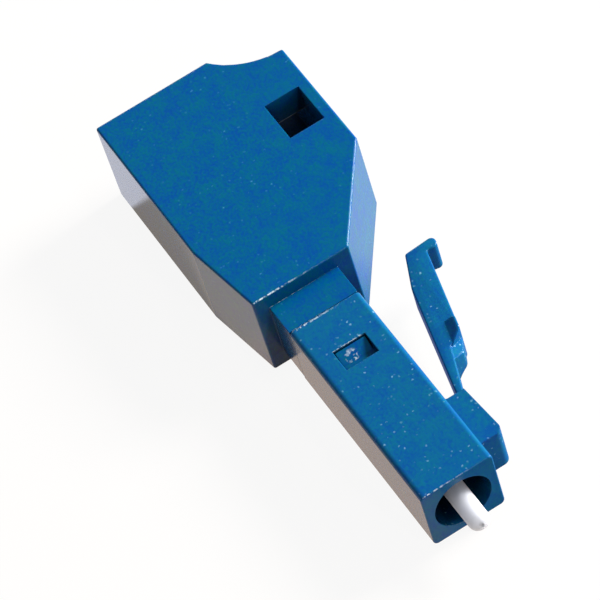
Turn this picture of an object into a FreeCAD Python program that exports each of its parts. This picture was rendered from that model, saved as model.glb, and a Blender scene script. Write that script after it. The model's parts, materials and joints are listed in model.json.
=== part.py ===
import FreeCAD, Part
import math
import os
import Sketcher

# Plug-type fixed fibre optic attenuator, lying on its side.
# Origin on the optical axis at the front face of the plug nose.
# +X runs along the axis to the ferrule tip, +Y to the latch, +Z up. Millimetres.

doc = FreeCAD.newDocument("attenuator")
sheet = doc.addObject("Spreadsheet::Sheet", "sizes")

driving = {
    # Ferrule, its fibre and its flange
    "ferrule_dia": 1.25,
    "ferrule_out": 2.0,
    "ferrule_chamfer_len": 0.3,
    "ferrule_chamfer_in": 0.14,
    "fibre_dia": 0.125,
    "bond_gap": 0.01,
    "flange_gap": 0.18,
    "flange_thick": 1.2,
    "flange_chamfer": 0.2,
    "flange_tail_wall": 0.265,
    "flange_tail_len": 2.5,
    # Spring behind the flange
    "spring_gap": 0.205,
    "spring_wire": 0.24,
    "spring_turns": 6,
    # Sleeve, its holder and its stop, from the inside out
    "sleeve_len": 6.8,
    "sleeve_wall": 0.173,
    "sleeve_slot": 0.24,
    "sleeve_grip_gap": 0.012,
    "sleeve_play": 0.04,
    "holder_wall": 0.25,
    "holder_neck_step": 0.17,
    "holder_head_step": 0.13,
    "holder_head_len": 0.8,
    "holder_lip_len": 0.5,
    "holder_gap": 0.03,
    "mouth_gap": 0.075,
    "mouth_flare": 0.15,
    "stop_thick": 0.6,
    "stop_gap": 0.1,
    # Snap tube and collar in front of the rear housing
    "tube_wall": 0.32,
    "tube_gap": 0.05,
    "tube_lead": 0.6,
    "collar_len": 2.27,
    "collar_side_step": 0.05,
    "collar_top_step": 0.2,
    "seam_gap": 0.12,
    "snap_width": 1.9,
    "snap_gap": 0.08,
    "snap_front_gap": 0.27,
    "snap_below_top": 0.12,
    # Plug nose
    "nose_wall": 0.45,
    "nose_edge_round": 0.3,
    "nose_rim_round": 0.1,
    "front_hole": 3.5,
    "front_hole_depth": 6.0,
    "shoulder_wall": 0.8,
    "cavity_len": 6.9,
    "guide_gap": 0.05,
    "snap_window_from_rear": 2.65,
    "snap_window_len": 1.5,
    # Block on the nose that carries the latch
    "root_setback": 1.5,
    "root_len": 3.6,
    "root_width": 2.9,
    "root_height": 1.27,
    "root_front_rise": 0.27,
    "root_corner_round": 0.45,
    "slot_end_round": 0.28,
    # Latch lever, drawn along its own length from the line where it bends
    "hinge_radius": 0.23,
    "hinge_gap": 0.03,
    "hinge_below_top": 0.24,
    "seat_depth": 0.06,
    "lever_tilt": 13.6,
    "lever_width": 2.0,
    "neck_len": 3.12,
    "neck_end_height": 0.56,
    "ear_ramp_len": 0.83,
    "ear_flat_len": 0.5,
    "ear_height": 0.81,
    "ear_width": 3.0,
    "trunk_len": 3.29,
    "tail_len": 2.94,
    "tail_rise": 0.39,
    "tail_slant": 0.58,
    "lip_len": 0.85,
    "lip_height": 0.67,
    "lip_round": 0.3,
    # Rear housing, seen from above
    "body_len": 16.43,
    "body_wall": 0.75,
    "left_wall": 1.54,
    "right_wall": 0.71,
    "shoulder_left": 0.8,
    "shoulder_right": 0.89,
    "taper_left_len": 5.2,
    "taper_right_len": 6.15,
    "scoop_depth": 2.0,
    "scoop_width": 3.93,
    "body_edge_round": 0.14,
    # Socket for the mating plug, cut in from the rear
    "mating_setback": 0.53,
    "floor_wall": 2.03,
    "socket_gap": 0.1,
    "channel_gap": 0.15,
    "channel_short": 1.2,
    "window_from_rear": 5.0,
    "window_len": 2.9,
    "window_height": 2.23,
    "window_width": 2.24,
}

for row, (alias, value) in enumerate(driving.items(), start=1):
    sheet.set("A%d" % row, alias)
    sheet.set("B%d" % row, str(value))
    sheet.setAlias("B%d" % row, alias)
doc.recompute()

# Diameters and widths, each worked out from the piece inside it
sleeve_bore = "(sizes.ferrule_dia + 2 * sizes.sleeve_grip_gap)"
sleeve_dia = "(%s + 2 * sizes.sleeve_wall)" % sleeve_bore
holder_bore = "(%s + 2 * sizes.sleeve_play)" % sleeve_dia
spigot_dia = "(%s + 2 * sizes.holder_wall)" % holder_bore
neck_dia = "(%s + 2 * sizes.holder_neck_step)" % spigot_dia
head_dia = "(%s + 2 * sizes.holder_head_step)" % neck_dia
spring_bore = "(%s + 2 * sizes.holder_gap)" % head_dia
tube_size = "(%s + 2 * sizes.tube_wall)" % spring_bore
cavity_size = "(%s + 2 * sizes.tube_gap)" % tube_size
nose_half = "(%s / 2 + sizes.nose_wall)" % cavity_size
nose_size = "(2 * %s)" % nose_half
socket_size = "(%s + 2 * sizes.socket_gap)" % nose_size
body_thick = "(%s + 2 * sizes.body_wall)" % socket_size
mouth_dia = "(sizes.ferrule_dia + 2 * sizes.mouth_gap)"

# Places along the optical axis
shoulder_rear = "(-sizes.front_hole_depth - sizes.shoulder_wall)"
nose_rear = "(%s - sizes.cavity_len)" % shoulder_rear
collar_front = "(%s - sizes.seam_gap)" % nose_rear
body_front = "(%s - sizes.collar_len)" % nose_rear
body_rear = "(%s - sizes.body_len)" % body_front
socket_floor = "(%s - sizes.floor_wall)" % body_front
mating_plane = "(%s - sizes.mating_setback)" % body_front
sleeve_front = "(%s + sizes.sleeve_len / 2)" % mating_plane
sleeve_rear = "(%s - sizes.sleeve_len / 2)" % mating_plane
holder_seat = "(%s - sizes.holder_head_len)" % sleeve_front
stop_front = "(%s + sizes.stop_thick)" % sleeve_front
flange_rear = "(%s - sizes.flange_thick)" % shoulder_rear
snap_window_rear = "(%s + sizes.snap_window_from_rear)" % nose_rear
snap_window_front = "(%s + sizes.snap_window_len)" % snap_window_rear
snap_rear = "(%s + sizes.snap_gap)" % snap_window_rear
snap_front = "(%s - sizes.snap_front_gap)" % snap_window_front
tube_front = "(%s + sizes.tube_lead)" % snap_front

# Latch block and the line where the lever bends
root_rear = "(-sizes.root_setback - sizes.root_len)"
root_top = "(%s + sizes.root_height)" % nose_half
seat_radius = "(sizes.hinge_radius + sizes.hinge_gap)"
hinge_x = "(%s + sizes.seat_depth - %s)" % (root_rear, seat_radius)
hinge_y = "(%s - sizes.hinge_below_top)" % root_top

# Latch window, above the side of the mating nose
window_near = "(%s + sizes.window_height)" % nose_half
window_far = "(%s + sizes.window_width)" % window_near
body_right = "(%s + sizes.right_wall)" % window_far
body_left = "(-%s / 2 - sizes.left_wall)" % socket_size


def new_body(label):
    body = doc.addObject("PartDesign::Body", label)
    body.Label = label
    return body


def origin_item(body, role):
    return [item for item in body.Origin.OriginFeatures if item.Role == role][0]


def new_sketch(body, name, role, offset="0"):
    # Sketch on one of the body's own origin planes, moved along the plane's normal.
    sketch = body.newObject("Sketcher::SketchObject", name)
    sketch.AttachmentSupport = [(origin_item(body, role), "")]
    sketch.MapMode = "FlatFace"
    sketch.setExpression("AttachmentOffset.Base.z", offset)
    return sketch


def place_point(sketch, geometry, point, across, up):
    # Ties one point of the sketch to its two coordinates.
    for kind, words in (("DistanceX", across), ("DistanceY", up)):
        index = sketch.addConstraint(Sketcher.Constraint(kind, -1, 1, geometry, point, 1.0))
        sketch.setExpression("Constraints[%d]" % index, words)


def draw_polygon(sketch, corners):
    # Closed outline through corners given as pairs of expressions, drawn first as a regular polygon.
    count = len(corners)
    turns = [2 * math.pi * i / count for i in range(count)]
    start = [FreeCAD.Vector(math.cos(turn), math.sin(turn), 0) for turn in turns]
    sides = []
    for i in range(count):
        sides.append(sketch.addGeometry(Part.LineSegment(start[i], start[(i + 1) % count])))
    for i in range(count):
        following = sides[(i + 1) % count]
        sketch.addConstraint(Sketcher.Constraint("Coincident", sides[i], 2, following, 1))
    for side, (across, up) in zip(sides, corners):
        place_point(sketch, side, 1, across, up)


def draw_rectangle(sketch, left, right, low, high):
    draw_polygon(sketch, [(left, low), (right, low), (right, high), (left, high)])


def draw_centred(sketch, width, height):
    # Rectangle centred on the sketch's origin.
    across = "(%s) / 2" % width
    up = "(%s) / 2" % height
    draw_rectangle(sketch, "-" + across, across, "-" + up, up)


def draw_circle(sketch, diameter, across="0", up="0"):
    circle = sketch.addGeometry(Part.Circle(FreeCAD.Vector(0, 0, 0), FreeCAD.Vector(0, 0, 1), 1.0))
    place_point(sketch, circle, 3, across, up)
    index = sketch.addConstraint(Sketcher.Constraint("Diameter", circle, 2.0))
    sketch.setExpression("Constraints[%d]" % index, diameter)


def volume_of(body):
    return 0.0 if body.Shape.isNull() else body.Shape.Volume


def add_feature(body, kind, sketch, length, symmetric, backwards):
    # Pad or pocket of a sketch, which has to add or take away material.
    doc.recompute()
    before = volume_of(body)
    made = body.newObject("PartDesign::" + kind, "%s_%s" % (sketch.Name, kind.lower()))
    made.Profile = sketch
    made.SideType = "Symmetric" if symmetric else "One side"
    made.Reversed = backwards
    made.setExpression("Length", length)
    doc.recompute()
    gained = volume_of(body) - before
    if (gained <= 0) == (kind == "Pad"):
        raise ValueError("%s changed nothing" % made.Name)


def pad(body, sketch, length, symmetric=False):
    add_feature(body, "Pad", sketch, length, symmetric, False)


def pocket(body, sketch, length, symmetric=False, forwards=False):
    # Cuts against the sketch's normal, or along it where forwards is set.
    add_feature(body, "Pocket", sketch, length, symmetric, forwards)


def round_edges(body, radius, wanted):
    # Rounds the edges of the body's last feature that the test picks.
    base = body.Tip
    names = ["Edge%d" % i for i, edge in enumerate(base.Shape.Edges, start=1) if wanted(edge)]
    made = body.newObject("PartDesign::Fillet", base.Name + "_round")
    made.Base = (base, names)
    made.setExpression("Radius", radius)
    doc.recompute()


def runs_along(edge, axis):
    # True for a straight edge parallel to the axis of the given number.
    if not isinstance(edge.Curve, Part.Line):
        return False
    return math.isclose(abs(edge.Curve.Direction[axis]), 1.0)


def lies_at(edge, axis, place):
    # True where the whole edge has the given coordinate.
    return all(math.isclose(vertex.Point[axis], place, abs_tol=1e-5) for vertex in edge.Vertexes)


def make_turned(label, corners):
    # Piece turned about the optical axis from its half section, given as pairs (place, radius).
    body = new_body(label)
    section = new_sketch(body, label + "_section", "XZ_Plane")
    draw_polygon(section, corners)
    turned = body.newObject("PartDesign::Revolution", label + "_turned")
    turned.Profile = section
    turned.ReferenceAxis = (origin_item(body, "X_Axis"), [""])
    turned.Angle = 360.0
    doc.recompute()
    return body


def make_rear_housing():
    body = new_body("rear_housing")
    outline = new_sketch(body, "body_outline", "XY_Plane")
    draw_polygon(outline, [
        (body_rear, body_left),
        (body_front + " - sizes.taper_left_len", body_left),
        (body_front, "-%s - sizes.shoulder_left" % nose_half),
        (body_front, nose_half + " + sizes.shoulder_right"),
        (body_front + " - sizes.taper_right_len", body_right),
        (body_rear, body_right),
    ])
    pad(body, outline, body_thick, symmetric=True)

    # The scooped rear corner is one arc that meets the latch side at a right angle
    radius = "((sizes.scoop_width^2 + sizes.scoop_depth^2) / (2 * sizes.scoop_depth))"
    scoop = new_sketch(body, "corner_scoop", "XY_Plane")
    draw_circle(scoop, "2 * " + radius, "%s + sizes.scoop_depth - %s" % (body_rear, radius), body_right)
    pocket(body, scoop, "2 * " + body_thick, symmetric=True)
    top = body.Shape.BoundBox.ZMax
    round_edges(body, "sizes.body_edge_round",
                lambda edge: runs_along(edge, 2) or lies_at(edge, 2, top) or lies_at(edge, 2, -top))

    # Collar and snap tube
    collar = new_sketch(body, "collar_face", "YZ_Plane", body_front)
    collar_width = nose_size + " - 2 * sizes.collar_side_step"
    collar_height = nose_size + " - 2 * sizes.collar_top_step"
    draw_centred(collar, collar_width, collar_height)
    pad(body, collar, "%s - %s" % (collar_front, body_front))
    tube = new_sketch(body, "tube_face", "YZ_Plane", collar_front)
    draw_centred(tube, tube_size, tube_size)
    pad(body, tube, "%s - %s" % (tube_front, collar_front))

    # Snap wedges above and below, steep behind and sloping down to the front
    base = "(%s / 2 - sizes.tube_wall / 2)" % tube_size
    crest = "(%s - sizes.snap_below_top)" % nose_half
    for side, sign in (("upper", "1"), ("lower", "-1")):
        wedge = new_sketch(body, side + "_snap", "XZ_Plane")
        corners = [(snap_rear, base), (snap_front, base), (snap_rear, crest)]
        draw_polygon(wedge, [(across, "%s * %s" % (sign, up)) for across, up in corners])
        pad(body, wedge, "sizes.snap_width", symmetric=True)

    # Socket, then the deep channel for the latch ears and the shallow one for its trunk
    socket = new_sketch(body, "socket_mouth", "YZ_Plane", body_rear)
    draw_centred(socket, socket_size, socket_size)
    pocket(body, socket, "%s - %s" % (socket_floor, body_rear), forwards=True)
    ears = new_sketch(body, "ear_channel", "YZ_Plane", body_rear)
    half = "(sizes.ear_width / 2 + sizes.channel_gap)"
    draw_rectangle(ears, "0", window_near, "-" + half, half)
    pocket(body, ears, "%s - %s - sizes.channel_short" % (socket_floor, body_rear), forwards=True)
    trunk = new_sketch(body, "trunk_channel", "YZ_Plane", body_rear)
    half = "(sizes.lever_width / 2 + sizes.channel_gap)"
    draw_rectangle(trunk, "0", window_far, "-" + half, half)
    pocket(body, trunk, "sizes.window_from_rear + sizes.window_len", forwards=True)

    # Latch windows through the upper and lower walls
    window = new_sketch(body, "latch_windows", "XY_Plane")
    window_rear = body_rear + " + sizes.window_from_rear"
    draw_rectangle(window, window_rear, window_rear + " + sizes.window_len", window_near, window_far)
    pocket(body, window, "2 * " + body_thick, symmetric=True)

    # Stepped bore for the spring and the sleeve holder
    wide = new_sketch(body, "spring_bore", "YZ_Plane", tube_front)
    draw_circle(wide, spring_bore)
    pocket(body, wide, "%s - %s" % (tube_front, holder_seat))
    narrow = new_sketch(body, "holder_bore", "YZ_Plane", holder_seat)
    draw_circle(narrow, neck_dia + " + 2 * sizes.holder_gap")
    pocket(body, narrow, "%s - %s" % (holder_seat, socket_floor))
    return body


def make_nose_housing():
    body = new_body("nose_housing")
    square = new_sketch(body, "nose_face", "YZ_Plane", nose_rear)
    draw_centred(square, nose_size, nose_size)
    pad(body, square, "-" + nose_rear)
    round_edges(body, "sizes.nose_edge_round", lambda edge: runs_along(edge, 0))
    rear = body.Shape.BoundBox.XMin
    round_edges(body, "sizes.nose_rim_round", lambda edge: lies_at(edge, 0, 0) or lies_at(edge, 0, rear))

    # Block for the latch, higher and rounded at its front, and rounded where the slot under the lever ends
    root = new_sketch(body, "latch_root", "XY_Plane")
    root_base = nose_half + " - sizes.nose_wall / 2"
    draw_polygon(root, [
        (root_rear, root_base),
        ("-sizes.root_setback", root_base),
        ("-sizes.root_setback", root_top + " + sizes.root_front_rise"),
        (root_rear, root_top),
    ])
    pad(body, root, "sizes.root_width", symmetric=True)
    front = -sheet.get("root_setback")
    back = front - sheet.get("root_len")
    upright = [edge for edge in body.Shape.Edges if runs_along(edge, 2)]
    high = max(edge.CenterOfMass.y for edge in upright)
    low = min(edge.CenterOfMass.y for edge in upright if lies_at(edge, 0, back))
    round_edges(body, "sizes.root_corner_round",
                lambda edge: runs_along(edge, 2) and lies_at(edge, 1, high) and lies_at(edge, 0, front))
    round_edges(body, "sizes.slot_end_round",
                lambda edge: runs_along(edge, 2) and lies_at(edge, 1, low) and lies_at(edge, 0, back))

    # Round seat in the back of the block, on the line where the lever bends
    seat = new_sketch(body, "hinge_seat", "XY_Plane")
    draw_circle(seat, "2 * " + seat_radius, hinge_x, hinge_y)
    pocket(body, seat, "2 * sizes.root_width", symmetric=True)

    # Round front hole, guide hole for the ferrule and the square cavity behind
    front_hole = new_sketch(body, "front_hole", "YZ_Plane")
    draw_circle(front_hole, "sizes.front_hole")
    pocket(body, front_hole, "sizes.front_hole_depth")
    guide = new_sketch(body, "guide_hole", "YZ_Plane")
    draw_circle(guide, "sizes.ferrule_dia + 2 * sizes.guide_gap")
    pocket(body, guide, "-" + shoulder_rear)
    cavity = new_sketch(body, "tube_cavity", "YZ_Plane", nose_rear)
    draw_centred(cavity, cavity_size, cavity_size)
    pocket(body, cavity, "sizes.cavity_len", forwards=True)

    # Snap windows through the upper and lower walls
    windows = new_sketch(body, "snap_windows", "XY_Plane")
    half = "(sizes.snap_width / 2 + sizes.snap_gap)"
    draw_rectangle(windows, snap_window_rear, snap_window_front, "-" + half, half)
    pocket(body, windows, "2 * " + nose_size, symmetric=True)
    return body


def make_latch_lever():
    # Drawn with the bending line at its own origin and the lever straight back along -X
    body = new_body("latch_lever")
    ear_foot = "-sizes.neck_len"
    ear_crest = ear_foot + " - sizes.ear_ramp_len"
    ear_back = ear_crest + " - sizes.ear_flat_len"
    kink = ear_back + " - sizes.trunk_len"
    tip = kink + " - sizes.tail_len"
    inner = "-sizes.hinge_radius"
    crest = "sizes.neck_end_height + sizes.ear_height"
    lip_top = crest + " + sizes.lip_height"
    profile = new_sketch(body, "lever_profile", "XY_Plane")
    draw_polygon(profile, [
        ("0", inner),
        ("0", "sizes.hinge_radius"),
        (ear_foot, "sizes.neck_end_height"),
        (ear_crest, crest),
        (tip + " + sizes.lip_len", crest),
        (tip + " + sizes.lip_len", lip_top),
        (tip, lip_top),
        (tip + " + sizes.tail_slant", inner + " + sizes.tail_rise"),
        (kink, inner),
    ])
    pad(body, profile, "sizes.lever_width", symmetric=True)
    high = body.Shape.BoundBox.YMax
    round_edges(body, "sizes.lip_round", lambda edge: runs_along(edge, 2) and lies_at(edge, 1, high))

    # Round root on the bending line
    root = new_sketch(body, "lever_root", "XY_Plane")
    draw_circle(root, "2 * sizes.hinge_radius")
    pad(body, root, "sizes.lever_width", symmetric=True)

    # Locking ears, wider than the lever, with a sloping front and a square back
    ears = new_sketch(body, "locking_ears", "XY_Plane")
    draw_polygon(ears, [
        (ear_back, "sizes.neck_end_height"),
        (ear_foot, "sizes.neck_end_height"),
        (ear_crest, crest),
        (ear_back, crest),
    ])
    pad(body, ears, "sizes.ear_width", symmetric=True)

    body.Placement.Rotation = FreeCAD.Rotation(FreeCAD.Vector(0, 0, -1), sheet.get("lever_tilt"))
    body.setExpression("Placement.Rotation.Angle", "sizes.lever_tilt")
    body.setExpression("Placement.Base.x", hinge_x)
    body.setExpression("Placement.Base.y", hinge_y)
    return body


def make_ferrule():
    bore = "sizes.fibre_dia / 2 + sizes.bond_gap"
    outside = "sizes.ferrule_dia / 2"
    face = outside + " - sizes.ferrule_chamfer_in"
    return make_turned("ferrule", [
        (mating_plane, bore),
        ("sizes.ferrule_out", bore),
        ("sizes.ferrule_out", face),
        ("sizes.ferrule_out - sizes.ferrule_chamfer_len", outside),
        (mating_plane + " + sizes.ferrule_chamfer_len", outside),
        (mating_plane, face),
    ])


def make_attenuating_fibre():
    body = new_body("attenuating_fibre")
    end = new_sketch(body, "fibre_end", "YZ_Plane", mating_plane)
    draw_circle(end, "sizes.fibre_dia")
    pad(body, end, "sizes.ferrule_out - " + mating_plane)
    return body


def make_ferrule_flange():
    bore = "sizes.ferrule_dia / 2 + sizes.bond_gap"
    tail = bore + " + sizes.flange_tail_wall"
    disc = spring_bore + " / 2 - sizes.flange_gap"
    tail_rear = flange_rear + " - sizes.flange_tail_len"
    return make_turned("ferrule_flange", [
        (tail_rear, bore),
        (shoulder_rear, bore),
        (shoulder_rear, disc + " - sizes.flange_chamfer"),
        (shoulder_rear + " - sizes.flange_chamfer", disc),
        (flange_rear, disc),
        (flange_rear, tail),
        (tail_rear, tail),
    ])


def make_coil_spring():
    # Helix of round wire from the stop to the back of the flange
    body = new_body("coil_spring")
    wire = new_sketch(body, "spring_wire_end", "XZ_Plane")
    coil_radius = spring_bore + " / 2 - sizes.spring_gap - sizes.spring_wire / 2"
    draw_circle(wire, "sizes.spring_wire", stop_front + " + sizes.spring_wire / 2", coil_radius)
    doc.recompute()
    coil = body.newObject("PartDesign::AdditiveHelix", "spring_coil")
    coil.Profile = wire
    coil.ReferenceAxis = (origin_item(body, "X_Axis"), [""])
    coil.Mode = "height-turns-angle"
    coil.setExpression("Height", "%s - %s - sizes.spring_wire" % (flange_rear, stop_front))
    coil.setExpression("Turns", "sizes.spring_turns")
    doc.recompute()
    return body


def make_sleeve_stop():
    bore = "sizes.ferrule_dia / 2 + sizes.stop_gap"
    outside = head_dia + " / 2"
    return make_turned("sleeve_stop", [
        (sleeve_front, bore),
        (stop_front, bore),
        (stop_front, outside),
        (sleeve_front, outside),
    ])


def make_sleeve_holder():
    # Head and neck stay in the stepped bore, and the spigot stands free in the socket
    mouth = mouth_dia + " / 2"
    inside = holder_bore + " / 2"
    spigot = spigot_dia + " / 2"
    neck = neck_dia + " / 2"
    head = head_dia + " / 2"
    lip_front = sleeve_rear + " - sizes.sleeve_play"
    lip_rear = lip_front + " - sizes.holder_lip_len"
    return make_turned("sleeve_holder", [
        (lip_rear + " - sizes.mouth_flare", mouth + " + sizes.mouth_flare"),
        (lip_rear, mouth),
        (lip_front, mouth),
        (lip_front, inside),
        (sleeve_front, inside),
        (sleeve_front, head),
        (holder_seat, head),
        (holder_seat, neck),
        (socket_floor, neck),
        (socket_floor, spigot),
        (lip_rear + " - sizes.mouth_flare", spigot),
    ])


def make_split_sleeve():
    body = new_body("split_sleeve")
    ring = new_sketch(body, "sleeve_ring", "YZ_Plane", sleeve_rear)
    draw_circle(ring, sleeve_dia)
    draw_circle(ring, sleeve_bore)
    pad(body, ring, "sizes.sleeve_len")
    slot = new_sketch(body, "sleeve_slot", "YZ_Plane", sleeve_rear)
    draw_rectangle(slot, "-sizes.sleeve_slot / 2", "sizes.sleeve_slot / 2", "0", sleeve_dia)
    pocket(body, slot, "sizes.sleeve_len", forwards=True)
    return body


pieces = [
    make_rear_housing(),
    make_nose_housing(),
    make_latch_lever(),
    make_ferrule(),
    make_attenuating_fibre(),
    make_ferrule_flange(),
    make_coil_spring(),
    make_sleeve_stop(),
    make_sleeve_holder(),
    make_split_sleeve(),
]
doc.recompute()

for item in doc.Objects:
    if "Invalid" in item.State or "Error" in item.State:
        raise ValueError("%s failed: %s" % (item.Name, item.State))
for piece in pieces:
    if piece.Shape.isNull() or not piece.Shape.isValid():
        raise ValueError("%s has no valid shape" % piece.Label)
    if len(piece.Shape.Solids) != 1:
        raise ValueError("%s is not one solid" % piece.Label)

os.makedirs("parts", exist_ok=True)
for piece in pieces:
    piece.Shape.exportStep(os.path.join("parts", piece.Label + ".step"))
    box = piece.Shape.BoundBox
    print("%s %.2f mm3, x %.2f to %.2f, y %.2f to %.2f, z %.2f to %.2f" % (
        piece.Label, piece.Shape.Volume, box.XMin, box.XMax, box.YMin, box.YMax, box.ZMin, box.ZMax))
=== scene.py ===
import json
import bpy
import numpy as np
from mathutils import Matrix, Vector


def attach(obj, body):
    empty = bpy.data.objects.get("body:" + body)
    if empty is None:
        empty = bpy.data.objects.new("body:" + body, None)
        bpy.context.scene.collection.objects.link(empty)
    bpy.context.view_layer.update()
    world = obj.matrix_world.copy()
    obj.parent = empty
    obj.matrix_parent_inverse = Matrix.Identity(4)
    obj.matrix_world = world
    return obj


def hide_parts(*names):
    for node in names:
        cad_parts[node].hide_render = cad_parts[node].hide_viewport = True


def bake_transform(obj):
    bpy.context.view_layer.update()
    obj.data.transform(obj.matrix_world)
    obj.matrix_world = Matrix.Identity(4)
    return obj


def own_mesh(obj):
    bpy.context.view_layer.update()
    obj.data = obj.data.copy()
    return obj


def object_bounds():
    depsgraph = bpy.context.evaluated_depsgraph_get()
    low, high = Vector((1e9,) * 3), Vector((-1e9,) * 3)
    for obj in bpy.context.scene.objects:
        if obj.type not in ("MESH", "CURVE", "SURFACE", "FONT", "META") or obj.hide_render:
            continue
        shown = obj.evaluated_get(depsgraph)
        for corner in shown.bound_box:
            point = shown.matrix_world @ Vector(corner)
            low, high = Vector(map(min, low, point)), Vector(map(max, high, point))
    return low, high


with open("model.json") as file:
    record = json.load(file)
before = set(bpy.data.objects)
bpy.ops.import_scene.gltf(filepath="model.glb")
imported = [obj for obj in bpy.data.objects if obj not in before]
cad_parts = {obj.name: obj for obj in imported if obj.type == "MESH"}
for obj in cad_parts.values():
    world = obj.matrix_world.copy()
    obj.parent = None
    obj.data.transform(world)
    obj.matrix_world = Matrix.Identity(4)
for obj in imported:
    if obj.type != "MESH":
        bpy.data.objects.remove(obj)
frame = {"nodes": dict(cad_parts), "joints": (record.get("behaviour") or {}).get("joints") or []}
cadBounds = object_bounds()
scene = bpy.context.scene
mm = 0.001  # sizes below are in millimetres, the scene is in metres
print("stage: frame loaded,", len(frame["nodes"]), "nodes")


def linearColour(hexText, alpha=1.0):
    # sRGB hex to linear light: a straight foot below 0.04045, a 2.4 power above it
    srgb = np.array([int(hexText[i:i + 2], 16) for i in (1, 3, 5)]) / 255
    linear = np.where(srgb <= 0.04045, srgb / 12.92, ((srgb + 0.055) / 1.055) ** 2.4)
    return (*linear.tolist(), alpha)


def perMetre(sizeMm):
    # texture scale at which one pattern step measures that many millimetres
    return 1.0 / (sizeMm * mm)


def addNode(tree, kind, settings, links=None):
    # capitalised names and numbers are sockets, other names are the node's own settings
    node = tree.nodes.new("ShaderNode" + kind)
    for name, value in settings.items():
        if isinstance(name, int) or name[0].isupper():
            node.inputs[name].default_value = value
        else:
            setattr(node, name, value)
    for name, source in (links or {}).items():
        tree.links.new(source, node.inputs[name])
    return node


def newMaterial(name):
    material = bpy.data.materials.new(name)
    material.use_nodes = True
    material.node_tree.nodes.clear()
    return material, material.node_tree


def endMaterial(tree, shader):
    addNode(tree, "OutputMaterial", {}, {"Surface": shader.outputs[0]})


# Blue moulded connector plastic, a filled polyester: saturated cyan blue and a fine eroded grain that
# breaks up the gloss; its tiny bright flecks are painted highlights, glints of light painted into the
# colour
bluePlastic = {
    # the fleck colour and the fleck sizes paint highlights; deep and light are the plastic's own blues
    "name": "moulded_blue_polyester", "deep": "#024a92", "light": "#02607c", "fleckGlint": "#4a9ecc",
    "mottleMm": 0.9, "grainMm": 0.17, "grainShare": 0.55, "spread": (0.36, 0.64),
    "fleckMm": 0.29, "fleckShare": 0.28, "fleckCore": 0.2, "fleckFrom": 0.36, "fleckFull": 0.9,
    "fleckBendMm": 0.16, "patchMm": 3.0,
    # painted edge highlights: their colour, dot size, lean, dots and fade
    "rimGlint": "#e4f4fa", "rimMm": 0.2, "rimLean": (0.4, 0.46), "rimDots": (0.44, 0.62),
    "rimFadeMm": (1.0, -2.4), "rimRear": 0.0, "rimRearMm": (-13.45, -13.57),
    # a spot of fuller painted highlight: its place, width, core and lift
    "glintSpotMm": (-10.4, -0.2, 1.98), "glintSpotWideMm": 0.5, "glintSpotCore": 0.3, "glintSpotLift": 0.2,
    # painted shade in hollows: how far it looks, and how deep and open map to darkening
    "cavityMm": 5.0, "cavityDeep": 0.15, "cavityOpen": 0.52, "cavityLeast": 0.1,
    "softEdgeMm": 0.09, "bumpMm": 0.012, "bumpStrength": 0.6, "roughness": 0.2, "ior": 1.22,
}
# the plug's own moulding is a shade bluer and has more painted glint flecks; its painted edge
# highlights run along its rear rim too, and its spot of painted highlight lies round the snap window,
# where the body's lies on the snap itself
plugPlastic = {
    **bluePlastic, "name": "moulded_blue_polyester_plug", "deep": "#085092", "light": "#0a6486",
    "fleckGlint": "#a6e0f6", "fleckFrom": 0.28, "fleckFull": 0.82, "rimRear": 0.6,
    "glintSpotMm": (-10.95, 0.1, 2.25), "glintSpotWideMm": 2.6,
}


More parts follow.
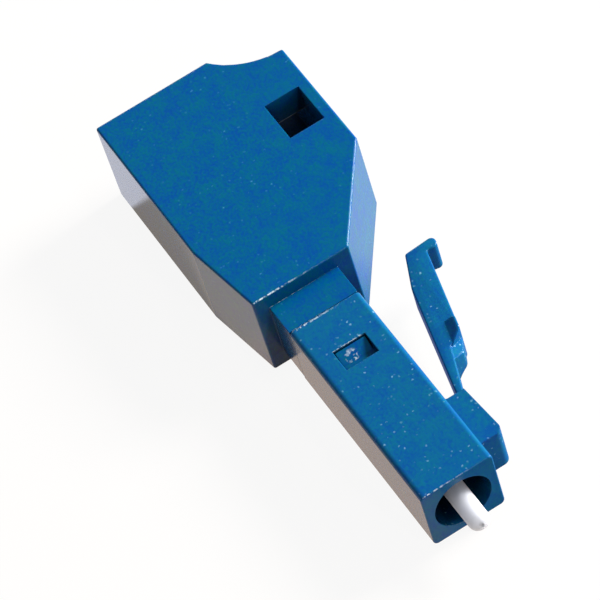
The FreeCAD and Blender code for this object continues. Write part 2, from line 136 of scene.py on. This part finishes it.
def makeBluePlastic(look):
    material, tree = newMaterial(look["name"])
    place = addNode(tree, "TexCoord", {}).outputs["Object"]
    # mottle: a coarse and a fine cloud together choose between the two blues
    mottle = addNode(tree, "TexNoise", {"Scale": perMetre(look["mottleMm"]), "Detail": 3.0},
                     {"Vector": place})
    grain = addNode(tree, "TexNoise", {"Scale": perMetre(look["grainMm"]), "Detail": 2.0},
                    {"Vector": place})
    both = addNode(tree, "Mix", {0: look["grainShare"]},
                   {2: mottle.outputs["Fac"], 3: grain.outputs["Fac"]})
    low, high = look["spread"]
    spread = addNode(tree, "MapRange", {"From Min": low, "From Max": high},
                     {"Value": both.outputs[0]})
    blues = addNode(tree, "Mix", {"data_type": "RGBA", 6: linearColour(look["deep"]),
                                  7: linearColour(look["light"])}, {0: spread.outputs[0]})
    # flecks, painted highlights that stand for glints of light: the middles of scattered cells whose
    # outlines a fine cloud bends, each as bright as its cell's own chance times a loose patch
    bend = addNode(tree, "TexNoise", {"Scale": perMetre(look["fleckBendMm"])}, {"Vector": place})
    bent = addNode(tree, "VectorMath", {"operation": "MULTIPLY_ADD",
                                        1: [look["fleckBendMm"] * mm] * 3},
                   {0: bend.outputs["Color"], 2: place})
    cells = addNode(tree, "TexVoronoi", {"Scale": perMetre(look["fleckMm"])},
                    {"Vector": bent.outputs[0]})
    point = addNode(tree, "MapRange", {"From Min": look["fleckShare"],
                                       "From Max": look["fleckShare"] * look["fleckCore"]},
                    {"Value": cells.outputs["Distance"]})
    patch = addNode(tree, "TexNoise", {"Scale": perMetre(look["patchMm"])}, {"Vector": place})
    chance = addNode(tree, "SeparateColor", {}, {0: cells.outputs["Color"]})
    luck = addNode(tree, "Math", {"operation": "MULTIPLY"},
                   {0: chance.outputs[0], 1: patch.outputs["Fac"]})
    glint = addNode(tree, "MapRange", {"From Min": look["fleckFrom"],
                                       "From Max": look["fleckFull"]}, {"Value": luck.outputs[0]})
    fleckGlint = addNode(tree, "Math", {"operation": "MULTIPLY"},
                    {0: point.outputs[0], 1: glint.outputs[0]})
    colour = addNode(tree, "Mix", {"data_type": "RGBA", 7: linearColour(look["fleckGlint"])},
                     {0: fleckGlint.outputs[0], 6: blues.outputs[2]})
    # painted highlights: rims glint in dots painted into the colour, where light would catch the
    # rounded edges; on front edges the normal leans over from Z towards X, which the product of the
    # two tells, and the plug's rear rim is told by its place along X
    soft = addNode(tree, "Bevel", {"samples": 6, "Radius": look["softEdgeMm"] * mm})
    lean = addNode(tree, "SeparateXYZ", {}, {0: soft.outputs[0]})
    front = addNode(tree, "Math", {"operation": "MULTIPLY"},
                    {0: lean.outputs[0], 1: lean.outputs[2]})
    spot = addNode(tree, "SeparateXYZ", {}, {0: place})
    start, end = look["rimRearMm"]
    behind = addNode(tree, "MapRange", {"From Min": start * mm, "From Max": end * mm,
                                        "To Max": look["rimRear"]}, {"Value": spot.outputs[0]})
    rear = addNode(tree, "Math", {"operation": "MULTIPLY"},
                   {0: lean.outputs[2], 1: behind.outputs[0]})
    leaning = addNode(tree, "Math", {"operation": "MAXIMUM"},
                      {0: front.outputs[0], 1: rear.outputs[0]})
    # near one place, a spot of painted highlight, an edge needs less lean to glint, and glints in full
    away = addNode(tree, "VectorMath", {"operation": "DISTANCE",
                                        1: [size * mm for size in look["glintSpotMm"]]}, {0: place})
    glintSpot = addNode(tree, "MapRange", {"From Min": look["glintSpotWideMm"] * mm,
                                       "From Max": look["glintSpotWideMm"] * look["glintSpotCore"] * mm},
                    {"Value": away.outputs["Value"]})
    lifted = addNode(tree, "Math", {"operation": "MULTIPLY_ADD", 1: look["glintSpotLift"]},
                     {0: glintSpot.outputs[0], 2: leaning.outputs[0]})
    low, high = look["rimLean"]
    rimGlint = addNode(tree, "MapRange", {"From Min": low, "From Max": high},
                  {"Value": lifted.outputs[0]})
    dots = addNode(tree, "TexNoise", {"Scale": perMetre(look["rimMm"]), "Detail": 1.0},
                   {"Vector": place})
    low, high = look["rimDots"]
    dotted = addNode(tree, "MapRange", {"From Min": low, "From Max": high},
                     {"Value": dots.outputs["Fac"]})
    # elsewhere the glint fades out towards the latch side
    start, end = look["rimFadeMm"]
    fade = addNode(tree, "MapRange", {"From Min": start * mm, "From Max": end * mm},
                   {"Value": spot.outputs[1]})
    fuller = addNode(tree, "Math", {"operation": "MAXIMUM"},
                     {0: fade.outputs[0], 1: glintSpot.outputs[0]})
    bright = addNode(tree, "Math", {"operation": "MULTIPLY"},
                     {0: dotted.outputs[0], 1: fuller.outputs[0]})
    caught = addNode(tree, "Math", {"operation": "MULTIPLY"},
                     {0: rimGlint.outputs[0], 1: bright.outputs[0]})
    colour = addNode(tree, "Mix", {"data_type": "RGBA", 7: linearColour(look["rimGlint"])},
                     {0: caught.outputs[0], 6: colour.outputs[2]})
    # painted shade: windows and seams look almost black, as the colour is darkened towards black where
    # little open space is near
    opening = addNode(tree, "AmbientOcclusion", {"samples": 8, "Distance": look["cavityMm"] * mm})
    openness = addNode(tree, "MapRange", {"From Min": look["cavityDeep"],
                                          "From Max": look["cavityOpen"],
                                          "To Min": look["cavityLeast"]},
                       {"Value": opening.outputs["AO"]})
    paintedHollowShade = addNode(tree, "Mix", {"data_type": "RGBA", 6: (0.0, 0.0, 0.0, 1.0)},
                       {0: openness.outputs[0], 7: colour.outputs[2]})
    bump = addNode(tree, "Bump", {"Strength": look["bumpStrength"],
                                  "Distance": look["bumpMm"] * mm},
                   {"Height": grain.outputs["Fac"], "Normal": soft.outputs[0]})
    shader = addNode(tree, "BsdfPrincipled", {"Roughness": look["roughness"], "IOR": look["ior"]},
                     {"Base Color": paintedHollowShade.outputs[2], "Normal": bump.outputs[0]})
    endMaterial(tree, shader)
    return material


# Zirconia ceramic, ground and polished: milky bright white with a soft gloss and faint cloudiness
zirconia = {"white": "#d6d8e2", "cloud": "#cdcfda", "cloudMm": 0.8, "roughness": 0.45, "ior": 1.3,
            "milky": 1.0, "glowMm": 2.5}


def makeCeramic(look):
    material, tree = newMaterial("polished_zirconia")
    place = addNode(tree, "TexCoord", {}).outputs["Object"]
    cloud = addNode(tree, "TexNoise", {"Scale": perMetre(look["cloudMm"]), "Detail": 2.0},
                    {"Vector": place})
    colour = addNode(tree, "Mix", {"data_type": "RGBA", 6: linearColour(look["white"]),
                                   7: linearColour(look["cloud"])}, {0: cloud.outputs["Fac"]})
    shader = addNode(tree, "BsdfPrincipled",
                     {"Roughness": look["roughness"], "IOR": look["ior"],
                      "Subsurface Weight": look["milky"], "Subsurface Radius": (1.0, 1.0, 1.0),
                      "Subsurface Scale": look["glowMm"] * mm}, {"Base Color": colour.outputs[2]})
    endMaterial(tree, shader)
    return material


# Turned or drawn metal: rings round the optical axis from the tool or the die, drawn coarser than the
# real ones so that they show
nickelSilver = {"name": "turned_nickel_silver", "bright": "#c9c3b2", "dull": "#a9a294",
                "ringMm": 0.5655, "waver": 1.5, "roughness": 0.3}
springSteel = {"name": "drawn_spring_steel", "bright": "#b4b6ba", "dull": "#8e9096",
               "ringMm": 0.754, "waver": 1.5, "roughness": 0.28}
turnedAluminium = {"name": "turned_aluminium", "bright": "#cfd0d2", "dull": "#b0b2b4",
                   "ringMm": 0.5027, "waver": 1.5, "roughness": 0.34}
wavesPerUnit = 20 / (2 * np.pi)  # the wave texture's own count of bands at a scale of 1


def makeTurnedMetal(look):
    material, tree = newMaterial(look["name"])
    place = addNode(tree, "TexCoord", {}).outputs["Object"]
    rings = addNode(tree, "TexWave", {"wave_type": "BANDS", "bands_direction": "X",
                                      "Distortion": look["waver"],
                                      "Scale": perMetre(look["ringMm"]) / wavesPerUnit},
                    {"Vector": place})
    colour = addNode(tree, "Mix", {"data_type": "RGBA", 6: linearColour(look["dull"]),
                                   7: linearColour(look["bright"])}, {0: rings.outputs["Fac"]})
    shader = addNode(tree, "BsdfPrincipled", {"Roughness": look["roughness"], "Metallic": 1.0},
                     {"Base Color": colour.outputs[2]})
    endMaterial(tree, shader)
    return material


# Natural grey engineering plastic of the sleeve holder: plain, matt, with a faint flow pattern
greyPlastic = {"pale": "#b9bdc1", "dark": "#a7abb0", "flowMm": 0.7, "roughness": 0.5, "ior": 1.5}


def makeGreyPlastic(look):
    material, tree = newMaterial("natural_grey_plastic")
    place = addNode(tree, "TexCoord", {}).outputs["Object"]
    flow = addNode(tree, "TexNoise", {"Scale": perMetre(look["flowMm"]), "Detail": 3.0},
                   {"Vector": place})
    colour = addNode(tree, "Mix", {"data_type": "RGBA", 6: linearColour(look["dark"]),
                                   7: linearColour(look["pale"])}, {0: flow.outputs["Fac"]})
    shader = addNode(tree, "BsdfPrincipled", {"Roughness": look["roughness"], "IOR": look["ior"]},
                     {"Base Color": colour.outputs[2]})
    endMaterial(tree, shader)
    return material


# Doped silica fibre: a clear core end in the ferrule, with a slight cool cast; little light passes
# along it, because the ferrule is milky all round
silicaFibre = {"clear": "#dfe8f0", "cast": "#c8d8e4", "castMm": 0.06, "roughness": 0.05,
               "ior": 1.46, "through": 0.2}


def makeFibreGlass(look):
    material, tree = newMaterial("doped_silica_fibre")
    place = addNode(tree, "TexCoord", {}).outputs["Object"]
    cast = addNode(tree, "TexNoise", {"Scale": perMetre(look["castMm"])}, {"Vector": place})
    colour = addNode(tree, "Mix", {"data_type": "RGBA", 6: linearColour(look["clear"]),
                                   7: linearColour(look["cast"])}, {0: cast.outputs["Fac"]})
    shader = addNode(tree, "BsdfPrincipled", {"Roughness": look["roughness"], "IOR": look["ior"],
                                              "Transmission Weight": look["through"]},
                     {"Base Color": colour.outputs[2]})
    endMaterial(tree, shader)
    return material


blueFinish = makeBluePlastic(bluePlastic)
plugFinish = makeBluePlastic(plugPlastic)
ceramicFinish = makeCeramic(zirconia)
steelFinish = makeTurnedMetal(springSteel)
nodeFinishes = {
    "rear_housing": blueFinish,
    "nose_housing": plugFinish,
    "latch_lever": plugFinish,
    "ferrule": ceramicFinish,
    "split_sleeve": ceramicFinish,
    "attenuating_fibre": makeFibreGlass(silicaFibre),
    "ferrule_flange": makeTurnedMetal(nickelSilver),
    "sleeve_stop": makeTurnedMetal(turnedAluminium),
    "coil_spring": steelFinish,
    "sleeve_holder": makeGreyPlastic(greyPlastic),
}
for nodeName, finish in nodeFinishes.items():
    nodeMesh = frame["nodes"][nodeName].data
    nodeMesh.materials.clear()
    nodeMesh.materials.append(finish)
print("stage: materials on", len(nodeFinishes), "nodes")


def shadeFaces(mesh, sharpAngle):
    # faces with up to four corners share smooth normals, larger ones are flat ends
    corners = np.empty(len(mesh.polygons), int)
    mesh.polygons.foreach_get("loop_total", corners)
    mesh.polygons.foreach_set("use_smooth", corners <= 4)
    mesh.set_sharp_from_angle(angle=np.radians(sharpAngle))


def newPiece(name, points, faces, finish, sharpAngle):
    mesh = bpy.data.meshes.new(name)
    mesh.from_pydata(points, [], faces)
    mesh.validate()
    mesh.materials.append(finish)
    shadeFaces(mesh, sharpAngle)
    piece = bpy.data.objects.new(name, mesh)
    scene.collection.objects.link(piece)
    return piece


def roundCorners(corners, steps):
    # corners are pairs of a place and a radius: each becomes an arc tangent to its two sides, and a
    # radius of 0 leaves it sharp
    radii = np.array([radius for place, radius in corners], float)[:, None]
    corners = np.array([place for place, radius in corners], float)
    back = np.roll(corners, 1, axis=0) - corners
    ahead = np.roll(corners, -1, axis=0) - corners
    back /= np.linalg.norm(back, axis=1, keepdims=True)
    ahead /= np.linalg.norm(ahead, axis=1, keepdims=True)
    inside = np.arccos(np.clip((back * ahead).sum(1, keepdims=True), -1, 1))
    reach = radii / np.tan(inside / 2)
    middle = back + ahead
    middle /= np.linalg.norm(middle, axis=1, keepdims=True)
    centre = corners + middle * radii / np.sin(inside / 2)
    first = (corners + back * reach - centre)[:, None]
    last = (corners + ahead * reach - centre)[:, None]
    sweep = (np.pi - inside)[:, None]
    share = np.linspace(0, 1, steps)[None, :, None]
    arc = (np.sin((1 - share) * sweep) * first + np.sin(share * sweep) * last) / np.sin(sweep)
    line = (centre[:, None] + arc).reshape(-1, 2)
    apart = np.linalg.norm(line - np.roll(line, 1, axis=0), axis=1) > 1e-6
    return line[apart]


def divideSides(outline, step):
    # straight sides get extra points no further apart than one step
    following = np.roll(outline, -1, axis=0)
    counts = np.ceil(np.linalg.norm(following - outline, axis=1) / step).astype(int)
    parts = [a + (b - a) * np.linspace(0, 1, n, endpoint=False)[:, None]
             for a, b, n in zip(outline, following, counts)]
    return np.concatenate(parts)


def thickOutline(outline, half, edgeRound, arcSteps):
    # outline in XY carried along Z from -half to +half; near both ends it draws in along its own
    # normal by r(1 - cos a) while Z goes on by r sin a, which rounds the edges
    along = np.roll(outline, -1, axis=0) - np.roll(outline, 1, axis=0)
    along /= np.linalg.norm(along, axis=1, keepdims=True)
    area = np.cross(outline, np.roll(outline, -1, axis=0)).sum()
    inward = np.stack([-along[:, 1], along[:, 0]], axis=1) * np.sign(area)
    turn = np.linspace(0, np.pi / 2, arcSteps)
    inset = edgeRound * (1 - np.cos(turn))
    height = half - edgeRound + edgeRound * np.sin(turn)
    inset = np.concatenate([inset[::-1], inset])
    height = np.concatenate([-height[::-1], height])
    flat = outline[None] + inward[None] * inset[:, None, None]
    rows, count = len(height), len(outline)
    level = np.broadcast_to(height[:, None, None], (rows, count, 1))
    points = np.concatenate([flat, level], axis=2)
    ring = np.arange(rows * count).reshape(rows, count)
    low, high = ring[:-1], ring[1:]
    quads = np.stack([low, np.roll(low, -1, 1), np.roll(high, -1, 1), high], axis=2)
    caps = [ring[0, ::-1].tolist(), ring[-1].tolist()]
    faces = quads.reshape(-1, 4).tolist() + caps
    if area < 0:
        faces = [face[::-1] for face in faces]
    return points.reshape(-1, 3), faces


def joinSolids(base, other, sharpAngle):
    # one closed skin round two solids that overlap
    union = base.modifiers.new("union", "BOOLEAN")
    union.operation, union.solver, union.object = "UNION", "EXACT", other
    graph = bpy.context.evaluated_depsgraph_get()
    joined = bpy.data.meshes.new_from_object(base.evaluated_get(graph))
    base.modifiers.clear()
    base.data = joined
    shadeFaces(joined, sharpAngle)
    bpy.data.objects.remove(other)


# Latch lever: side outline in its own length and height, measured from the line where it bends,
# carried across its width; its root runs on into the block so that it looks moulded in one
hinge = np.array(frame["joints"][0]["pos_m"])[:2] / mm
latch = {
    "tilt": 13.6, "half": 1.0, "edgeRound": 0.1, "step": 0.12, "sharp": 30,
    "cornerSteps": 7, "edgeSteps": 5,
    "blockRear": -5.098, "rootIn": -4.7, "rootTop": 3.512, "webLow": 2.74, "webRound": 0.25,
    "inner": -0.225, "kinkLen": 7.74, "kinkRound": 0.6,
    "endLen": 10.1, "endRise": 0.165, "endRound": 0.2,
    "tipLen": 10.68, "lipLen": 0.85, "lipTop": 2.04, "lipRound": 0.3, "lipFootRound": 0.12,
    "crestLen": 3.95, "crest": 1.37, "crestRound": 0.2,
    "neckLen": 3.12, "neckHeight": 0.56, "neckRound": 0.15, "rootHeight": 0.235, "rootRound": 0.05,
    "bendFrom": (-5.12, 3.28), "bendTo": (-6.1, 3.47),
}
# two ears stand out at the sides, and a round front, the belly, leads the ramp up to them; each keeps
# just under the crest so that no two faces lie in one plane
ears = {
    "half": 1.5, "round": 0.22, "foot": 2.86, "footHeight": 0.36, "crestLen": 3.85,
    "crestRound": 0.4, "underCrest": 0.004, "back": 4.8, "slopeFrom": 0.72,
    "cornerSteps": 8, "edgeSteps": 6,
    "bellyFoot": 2.2, "bellyLen": 2.68, "bellyHeight": 1.1, "bellyRound": 0.35,
    "bellyUnderEar": 0.01, "bellyHalf": 0.97, "bellyLean": 0.5,
}
lengthways = np.array([-np.cos(np.radians(latch["tilt"])), np.sin(np.radians(latch["tilt"]))])
outwards = np.array([np.sin(np.radians(latch["tilt"])), np.cos(np.radians(latch["tilt"]))])


def onLever(length, height):
    # length runs back along the tilted lever, height outwards from it
    return hinge + lengthways * length + outwards * height


def heightOn(points):
    # how far out from the lever's bending line each point stands
    return (points[:, :2] - hinge) @ outwards


def makeEar(look):
    earTop = latch["crest"] - look["underCrest"]
    corners = [
        (onLever(look["foot"], look["footHeight"]), look["round"]),
        (onLever(look["crestLen"], earTop), look["crestRound"]),
        (onLever(look["back"], earTop), look["round"]),
        (onLever(look["back"], look["footHeight"]), look["round"]),
    ]
    points, faces = thickOutline(roundCorners(corners, look["cornerSteps"]), look["half"],
                                 look["round"], look["edgeSteps"])
    # an ear stands highest at its outer side and falls from there in a straight line, which meets the
    # lever's own side on the way
    share = (heightOn(points) - look["slopeFrom"]) / (earTop - look["slopeFrom"])
    rise = np.maximum(np.abs(points[:, 2]) - latch["half"], 0)
    points[:, 2] -= np.sign(points[:, 2]) * rise * (1 - share)
    return newPiece("ear", points * mm, faces, plugFinish, latch["sharp"])


def makeBelly(look):
    top = latch["crest"] - look["underCrest"] - look["bellyUnderEar"]
    corners = [
        (onLever(look["bellyFoot"], look["footHeight"]), 0.0),
        (onLever(look["bellyLen"], look["bellyHeight"]), look["bellyRound"]),
        (onLever(look["crestLen"], top), look["crestRound"]),
        (onLever(look["back"], look["footHeight"]), 0.0),
    ]
    points, faces = thickOutline(roundCorners(corners, look["cornerSteps"]), look["bellyHalf"],
                                 latch["edgeRound"], latch["edgeSteps"])
    # it narrows evenly as it stands out from the lever
    points[:, 2] *= 1 - look["bellyLean"] * (heightOn(points) - look["footHeight"])
    return newPiece("belly", points * mm, faces, plugFinish, latch["sharp"])


def makeLatch(look):
    lipFoot = look["tipLen"] - look["lipLen"]
    corners = [
        ((look["rootIn"], look["rootTop"]), 0.0),
        ((look["rootIn"], look["webLow"]), 0.0),
        ((look["blockRear"], look["webLow"]), 0.0),
        ((look["blockRear"], onLever(0, look["inner"])[1]), look["webRound"]),
        (onLever(look["kinkLen"], look["inner"]), look["kinkRound"]),
        (onLever(look["endLen"], look["endRise"]), look["endRound"]),
        (onLever(look["tipLen"], look["lipTop"]), look["lipRound"]),
        (onLever(lipFoot, look["lipTop"]), look["lipRound"]),
        (onLever(lipFoot, look["crest"]), look["lipFootRound"]),
        (onLever(look["crestLen"], look["crest"]), look["crestRound"]),
        (onLever(look["neckLen"], look["neckHeight"]), look["neckRound"]),
        (onLever(0, look["rootHeight"]), look["rootRound"]),
    ]
    outline = divideSides(roundCorners(corners, look["cornerSteps"]), look["step"])
    points, faces = thickOutline(outline * mm, look["half"] * mm, look["edgeRound"] * mm,
                                 look["edgeSteps"])
    moulding = newPiece("latch_lever_moulding", points, faces, plugFinish, look["sharp"])
    joinSolids(moulding, makeEar(ears), look["sharp"])
    joinSolids(moulding, makeBelly(ears), look["sharp"])
    return moulding


lever = makeLatch(latch)
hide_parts("latch_lever")
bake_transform(lever)
print("stage: latch lever", len(lever.data.polygons), "faces")


# Ferrule: a turned outline swept round the optical axis, its front end polished to a dome
ferrule = {"rear": -16.5, "front": 2.0, "radius": 0.625, "domeLen": 0.5, "domeTop": 0.16,
           "bore": 0.0725, "rearChamfer": 0.12, "domeSteps": 12, "round": 64, "sharp": 35}


def makeFerrule(look):
    turn = np.linspace(0, np.pi / 2, look["domeSteps"])
    dome = np.stack([look["front"] - look["domeLen"] * (1 - np.sin(turn)),
                     look["domeTop"] + (look["radius"] - look["domeTop"]) * np.cos(turn)], axis=1)
    chamfer = look["rearChamfer"]
    profile = np.concatenate([
        [(look["rear"], look["bore"]), (look["rear"], look["radius"] - chamfer),
         (look["rear"] + chamfer, look["radius"])], dome, [(look["front"], look["bore"])]])
    around = np.linspace(0, 2 * np.pi, look["round"], endpoint=False)
    points = np.stack([np.broadcast_to(profile[:, :1], (len(profile), len(around))),
                       profile[:, 1:] * np.cos(around), profile[:, 1:] * np.sin(around)], axis=2)
    grid = np.arange(len(profile) * len(around)).reshape(len(profile), len(around))
    ahead = np.roll(grid, -1, 0)
    quads = np.stack([grid, np.roll(grid, -1, 1), np.roll(ahead, -1, 1), ahead], axis=2)
    return newPiece("ferrule_pin", points.reshape(-1, 3) * mm, quads.reshape(-1, 4).tolist(),
                    ceramicFinish, look["sharp"])


pin = makeFerrule(ferrule)
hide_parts("ferrule")
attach(pin, "ferrule_unit")
print("stage: ferrule", len(pin.data.polygons), "faces")


# Spring: a round wire carried along an even helix about the optical axis
spring = {"rear": -12.5, "front": -8.0, "coilRadius": 1.105, "wire": 0.24, "turns": 6.0,
          "steps": 48, "round": 14, "sharp": 50, "travel": 1.0}


def makeSpring(look):
    wireRadius = look["wire"] / 2
    turn = np.linspace(0, 2 * np.pi * look["turns"], int(look["turns"] * look["steps"]) + 1)
    rise = np.linspace(look["rear"] + wireRadius, look["front"] - wireRadius, len(turn))
    outward = np.stack([np.zeros_like(turn), np.cos(turn), np.sin(turn)], axis=1)
    axis = np.array([1.0, 0.0, 0.0])
    centre = rise[:, None] * axis + look["coilRadius"] * outward
    around = np.linspace(0, 2 * np.pi, look["round"], endpoint=False)[None, :, None]
    ring = np.cos(around) * outward[:, None] + np.sin(around) * axis
    points = (centre[:, None] + wireRadius * ring) * mm
    rows, count = points.shape[:2]
    grid = np.arange(rows * count).reshape(rows, count)
    here, ahead = grid[:-1], grid[1:]
    quads = np.stack([here, ahead, np.roll(ahead, -1, 1), np.roll(here, -1, 1)], axis=2)
    faces = quads.reshape(-1, 4).tolist() + [grid[0].tolist(), grid[-1, ::-1].tolist()]
    return newPiece("spring_wire", points.reshape(-1, 3), faces, steelFinish, look["sharp"])


wire = makeSpring(spring)
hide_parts("coil_spring")
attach(wire, "housing")
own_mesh(wire)
print("stage: spring", len(wire.data.polygons), "faces")


# Floor: plain pale ground that the camera sees as white, with the object's soft shadow kept; in glossy
# walls it shows painted reflections, glowing tones set by place
floorLook = {
    "half": 300, "below": 0.01, "pale": "#d2c8bd", "paler": "#d6cdc3", "cloudMm": 6.0,
    "seenGlow": 0.86, "mirrorGlow": 0.95, "whiteGlow": 1.05,
    # the glows and tones below are the strengths, colours and places of the painted reflections in the
    # glossy walls
    "reflectionGlow": 1.3, "rearGlow": 1.65, "paintedBandGlow": 2.6, "sharp": 30,
    "rear": "#f6f5ff", "body": "#bbad9c", "nose": "#f6dcc6", "taper": "#d0d3d5", "latch": "#5a70a8",
    "rearMm": (-31.3, -30.9), "noseMm": (-19.0, -16.0), "rightMm": (-1.5, 1.5),
    "paintedBandSlope": 0.28, "paintedBandMm": (2.15, 1.8),
}


def makeFloor(look):
    edge = look["half"] * mm
    low = cadBounds[0][2] - look["below"] * mm
    points = [(-edge, -edge, low), (edge, -edge, low), (edge, edge, low), (-edge, edge, low)]
    material, tree = newMaterial("pale_paper_ground")
    place = addNode(tree, "TexCoord", {}).outputs["Object"]
    cloud = addNode(tree, "TexNoise", {"Scale": perMetre(look["cloudMm"])}, {"Vector": place})
    paper = addNode(tree, "Mix", {"data_type": "RGBA", 6: linearColour(look["pale"]),
                                  7: linearColour(look["paler"])}, {0: cloud.outputs["Fac"]})
    matt = addNode(tree, "BsdfDiffuse", {}, {"Color": paper.outputs[2]})
    path = addNode(tree, "LightPath", {})
    seen = addNode(tree, "Math", {"operation": "MAXIMUM"},
                   {0: path.outputs["Is Glossy Ray"], 1: path.outputs["Is Transmission Ray"]})
    mirror = addNode(tree, "Mix", {2: 0.0, 3: look["mirrorGlow"]}, {0: seen.outputs[0]})
    share = addNode(tree, "Mix", {3: look["seenGlow"]},
                    {0: path.outputs["Is Camera Ray"], 2: mirror.outputs[0]})
    ground = addNode(tree, "SeparateXYZ", {}, {0: place})

    def between(ends, along):
        # 0 up to the first place along that axis, 1 from the second on
        return addNode(tree, "MapRange", {"From Min": ends[0] * mm, "From Max": ends[1] * mm},
                       {"Value": ground.outputs[along]}).outputs[0]

    # painted reflections, glowing tones that only mirrored rays see: on the left a pale cool one at
    # the rear end, a warm darker one along the body and a paler warm one along the nose, and on the
    # right a grey one that turns dark blue under the latch as painted shade
    pastRear, pastBody = between(look["rearMm"], 0), between(look["noseMm"], 0)
    left = addNode(tree, "Mix", {"data_type": "RGBA", 6: linearColour(look["rear"]),
                                 7: linearColour(look["body"])}, {0: pastRear})
    left = addNode(tree, "Mix", {"data_type": "RGBA", 7: linearColour(look["nose"])},
                   {0: pastBody, 6: left.outputs[2]})
    right = addNode(tree, "Mix", {"data_type": "RGBA", 6: linearColour(look["taper"]),
                                  7: linearColour(look["latch"])}, {0: pastBody})
    sides = addNode(tree, "Mix", {"data_type": "RGBA"},
                    {0: between(look["rightMm"], 1), 6: left.outputs[2], 7: right.outputs[2]})
    # painted reflection: along the body a brighter band begins at a slanting line, where Y less a
    # share of X falls below one place, and the left taper mirrors it
    slant = addNode(tree, "Math", {"operation": "MULTIPLY_ADD", 1: -look["paintedBandSlope"]},
                    {0: ground.outputs[0], 2: ground.outputs[1]})
    start, end = look["paintedBandMm"]
    onPaintedBand = addNode(tree, "MapRange", {"From Min": start * mm, "From Max": end * mm},
                     {"Value": slant.outputs[0]})
    paintedBand = addNode(tree, "Mix", {2: look["reflectionGlow"], 3: look["paintedBandGlow"]},
                   {0: onPaintedBand.outputs[0]})
    paintedBand = addNode(tree, "Mix", {3: look["reflectionGlow"]}, {0: pastBody, 2: paintedBand.outputs[0]})
    paintedReflection = addNode(tree, "Mix", {2: look["rearGlow"]}, {0: pastRear, 3: paintedBand.outputs[0]})
    tint = addNode(tree, "Mix", {"data_type": "RGBA", 7: (1.0, 1.0, 1.0, 1.0)},
                   {0: path.outputs["Is Camera Ray"], 6: sides.outputs[2]})
    strength = addNode(tree, "Mix", {3: look["whiteGlow"]},
                       {0: path.outputs["Is Camera Ray"], 2: paintedReflection.outputs[0]})
    glow = addNode(tree, "Emission", {}, {"Color": tint.outputs[2],
                                          "Strength": strength.outputs[0]})
    both = addNode(tree, "MixShader", {},
                   {0: share.outputs[0], 1: matt.outputs[0], 2: glow.outputs[0]})
    endMaterial(tree, both)
    return newPiece("ground", points, [(0, 1, 2, 3)], material, look["sharp"])


makeFloor(floorLook)


# World: a dim even surround for the light, white where the camera looks past the floor
worldLook = {"ambient": 0.28, "mirrored": 0.25, "colour": "#f4f8ff"}


def makeWorld(look):
    world = bpy.data.worlds.new("studio_surround")
    world.use_nodes = True
    tree = world.node_tree
    tree.nodes.clear()
    path = addNode(tree, "LightPath", {})
    seen = addNode(tree, "Math", {"operation": "MAXIMUM"},
                   {0: path.outputs["Is Glossy Ray"], 1: path.outputs["Is Transmission Ray"]})
    mirrored = addNode(tree, "Mix", {2: look["ambient"], 3: look["mirrored"]},
                       {0: seen.outputs[0]})
    strength = addNode(tree, "Mix", {3: 1.0},
                       {0: path.outputs["Is Camera Ray"], 2: mirrored.outputs[0]})
    tint = addNode(tree, "Mix", {"data_type": "RGBA", 6: linearColour(look["colour"]),
                                 7: (1.0, 1.0, 1.0, 1.0)}, {0: path.outputs["Is Camera Ray"]})
    light = addNode(tree, "Background", {}, {"Color": tint.outputs[2],
                                             "Strength": strength.outputs[0]})
    addNode(tree, "OutputWorld", {}, {"Surface": light.outputs[0]})
    scene.world = world


makeWorld(worldLook)

# Lamps: direction to the lamp, its distance and width in millimetres, and the light it puts on a
# face square to it, where 1 shows a colour as it is written
aim = Vector((-14.0, 1.5, 0.0)) * mm
lamps = {
    "side_window": {"towards": (0.0, 0.82, 0.57), "away": 420, "wide": 160, "level": 1.5},
    "side_low": {"towards": (-0.05, 0.99, 0.06), "away": 420, "wide": 120, "level": 1.7},
    "front_lamp": {"towards": (0.8, 0.169, 0.575), "away": 420, "wide": 25, "level": 0.12},
    "back_rim": {"towards": (-0.9, 0.17, 0.4), "away": 420, "wide": 40, "level": 0.06},
}


def makeLamp(name, look):
    data = bpy.data.lights.new(name, "AREA")
    data.shape, data.size = "DISK", look["wide"] * mm
    distance = look["away"] * mm
    # a far disc lights white paper by its power over the square of pi times the distance
    data.energy = look["level"] * np.pi ** 2 * distance ** 2
    lamp = bpy.data.objects.new(name, data)
    towards = Vector(look["towards"]).normalized()
    lamp.location = aim + towards * distance
    lamp.rotation_euler = towards.to_track_quat("Z", "Y").to_euler()
    scene.collection.objects.link(lamp)


for lampName, lampLook in lamps.items():
    makeLamp(lampName, lampLook)
print("stage: floor, world and", len(lamps), "lamps")

# Camera at the photograph's place, with its right and down directions and its focal length in the
# photograph's pixels
view = {
    "placeMm": (123.03, -39.34, 187.37),
    "right": (0.5023, 0.8415, -0.1991),
    "down": (0.6321, -0.5144, -0.5795),
    "focalPixels": 4310.9, "framePixels": 600, "sensorMm": 36.0, "clipMm": (1.0, 20000.0),
}


def makeCamera(look):
    data = bpy.data.cameras.new("photo_camera")
    data.sensor_width = look["sensorMm"]
    data.lens = look["focalPixels"] / look["framePixels"] * look["sensorMm"]
    data.clip_start, data.clip_end = [distance * mm for distance in look["clipMm"]]
    camera = bpy.data.objects.new("photo_camera", data)
    right = Vector(look["right"]).normalized()
    up = -Vector(look["down"])
    up = (up - right * up.dot(right)).normalized()
    turn = Matrix((right, up, right.cross(up))).transposed()
    camera.matrix_world = Matrix.Translation(Vector(look["placeMm"]) * mm) @ turn.to_4x4()
    scene.collection.objects.link(camera)
    scene.camera = camera


makeCamera(view)
scene.view_settings.view_transform = "Standard"
print("stage: camera")
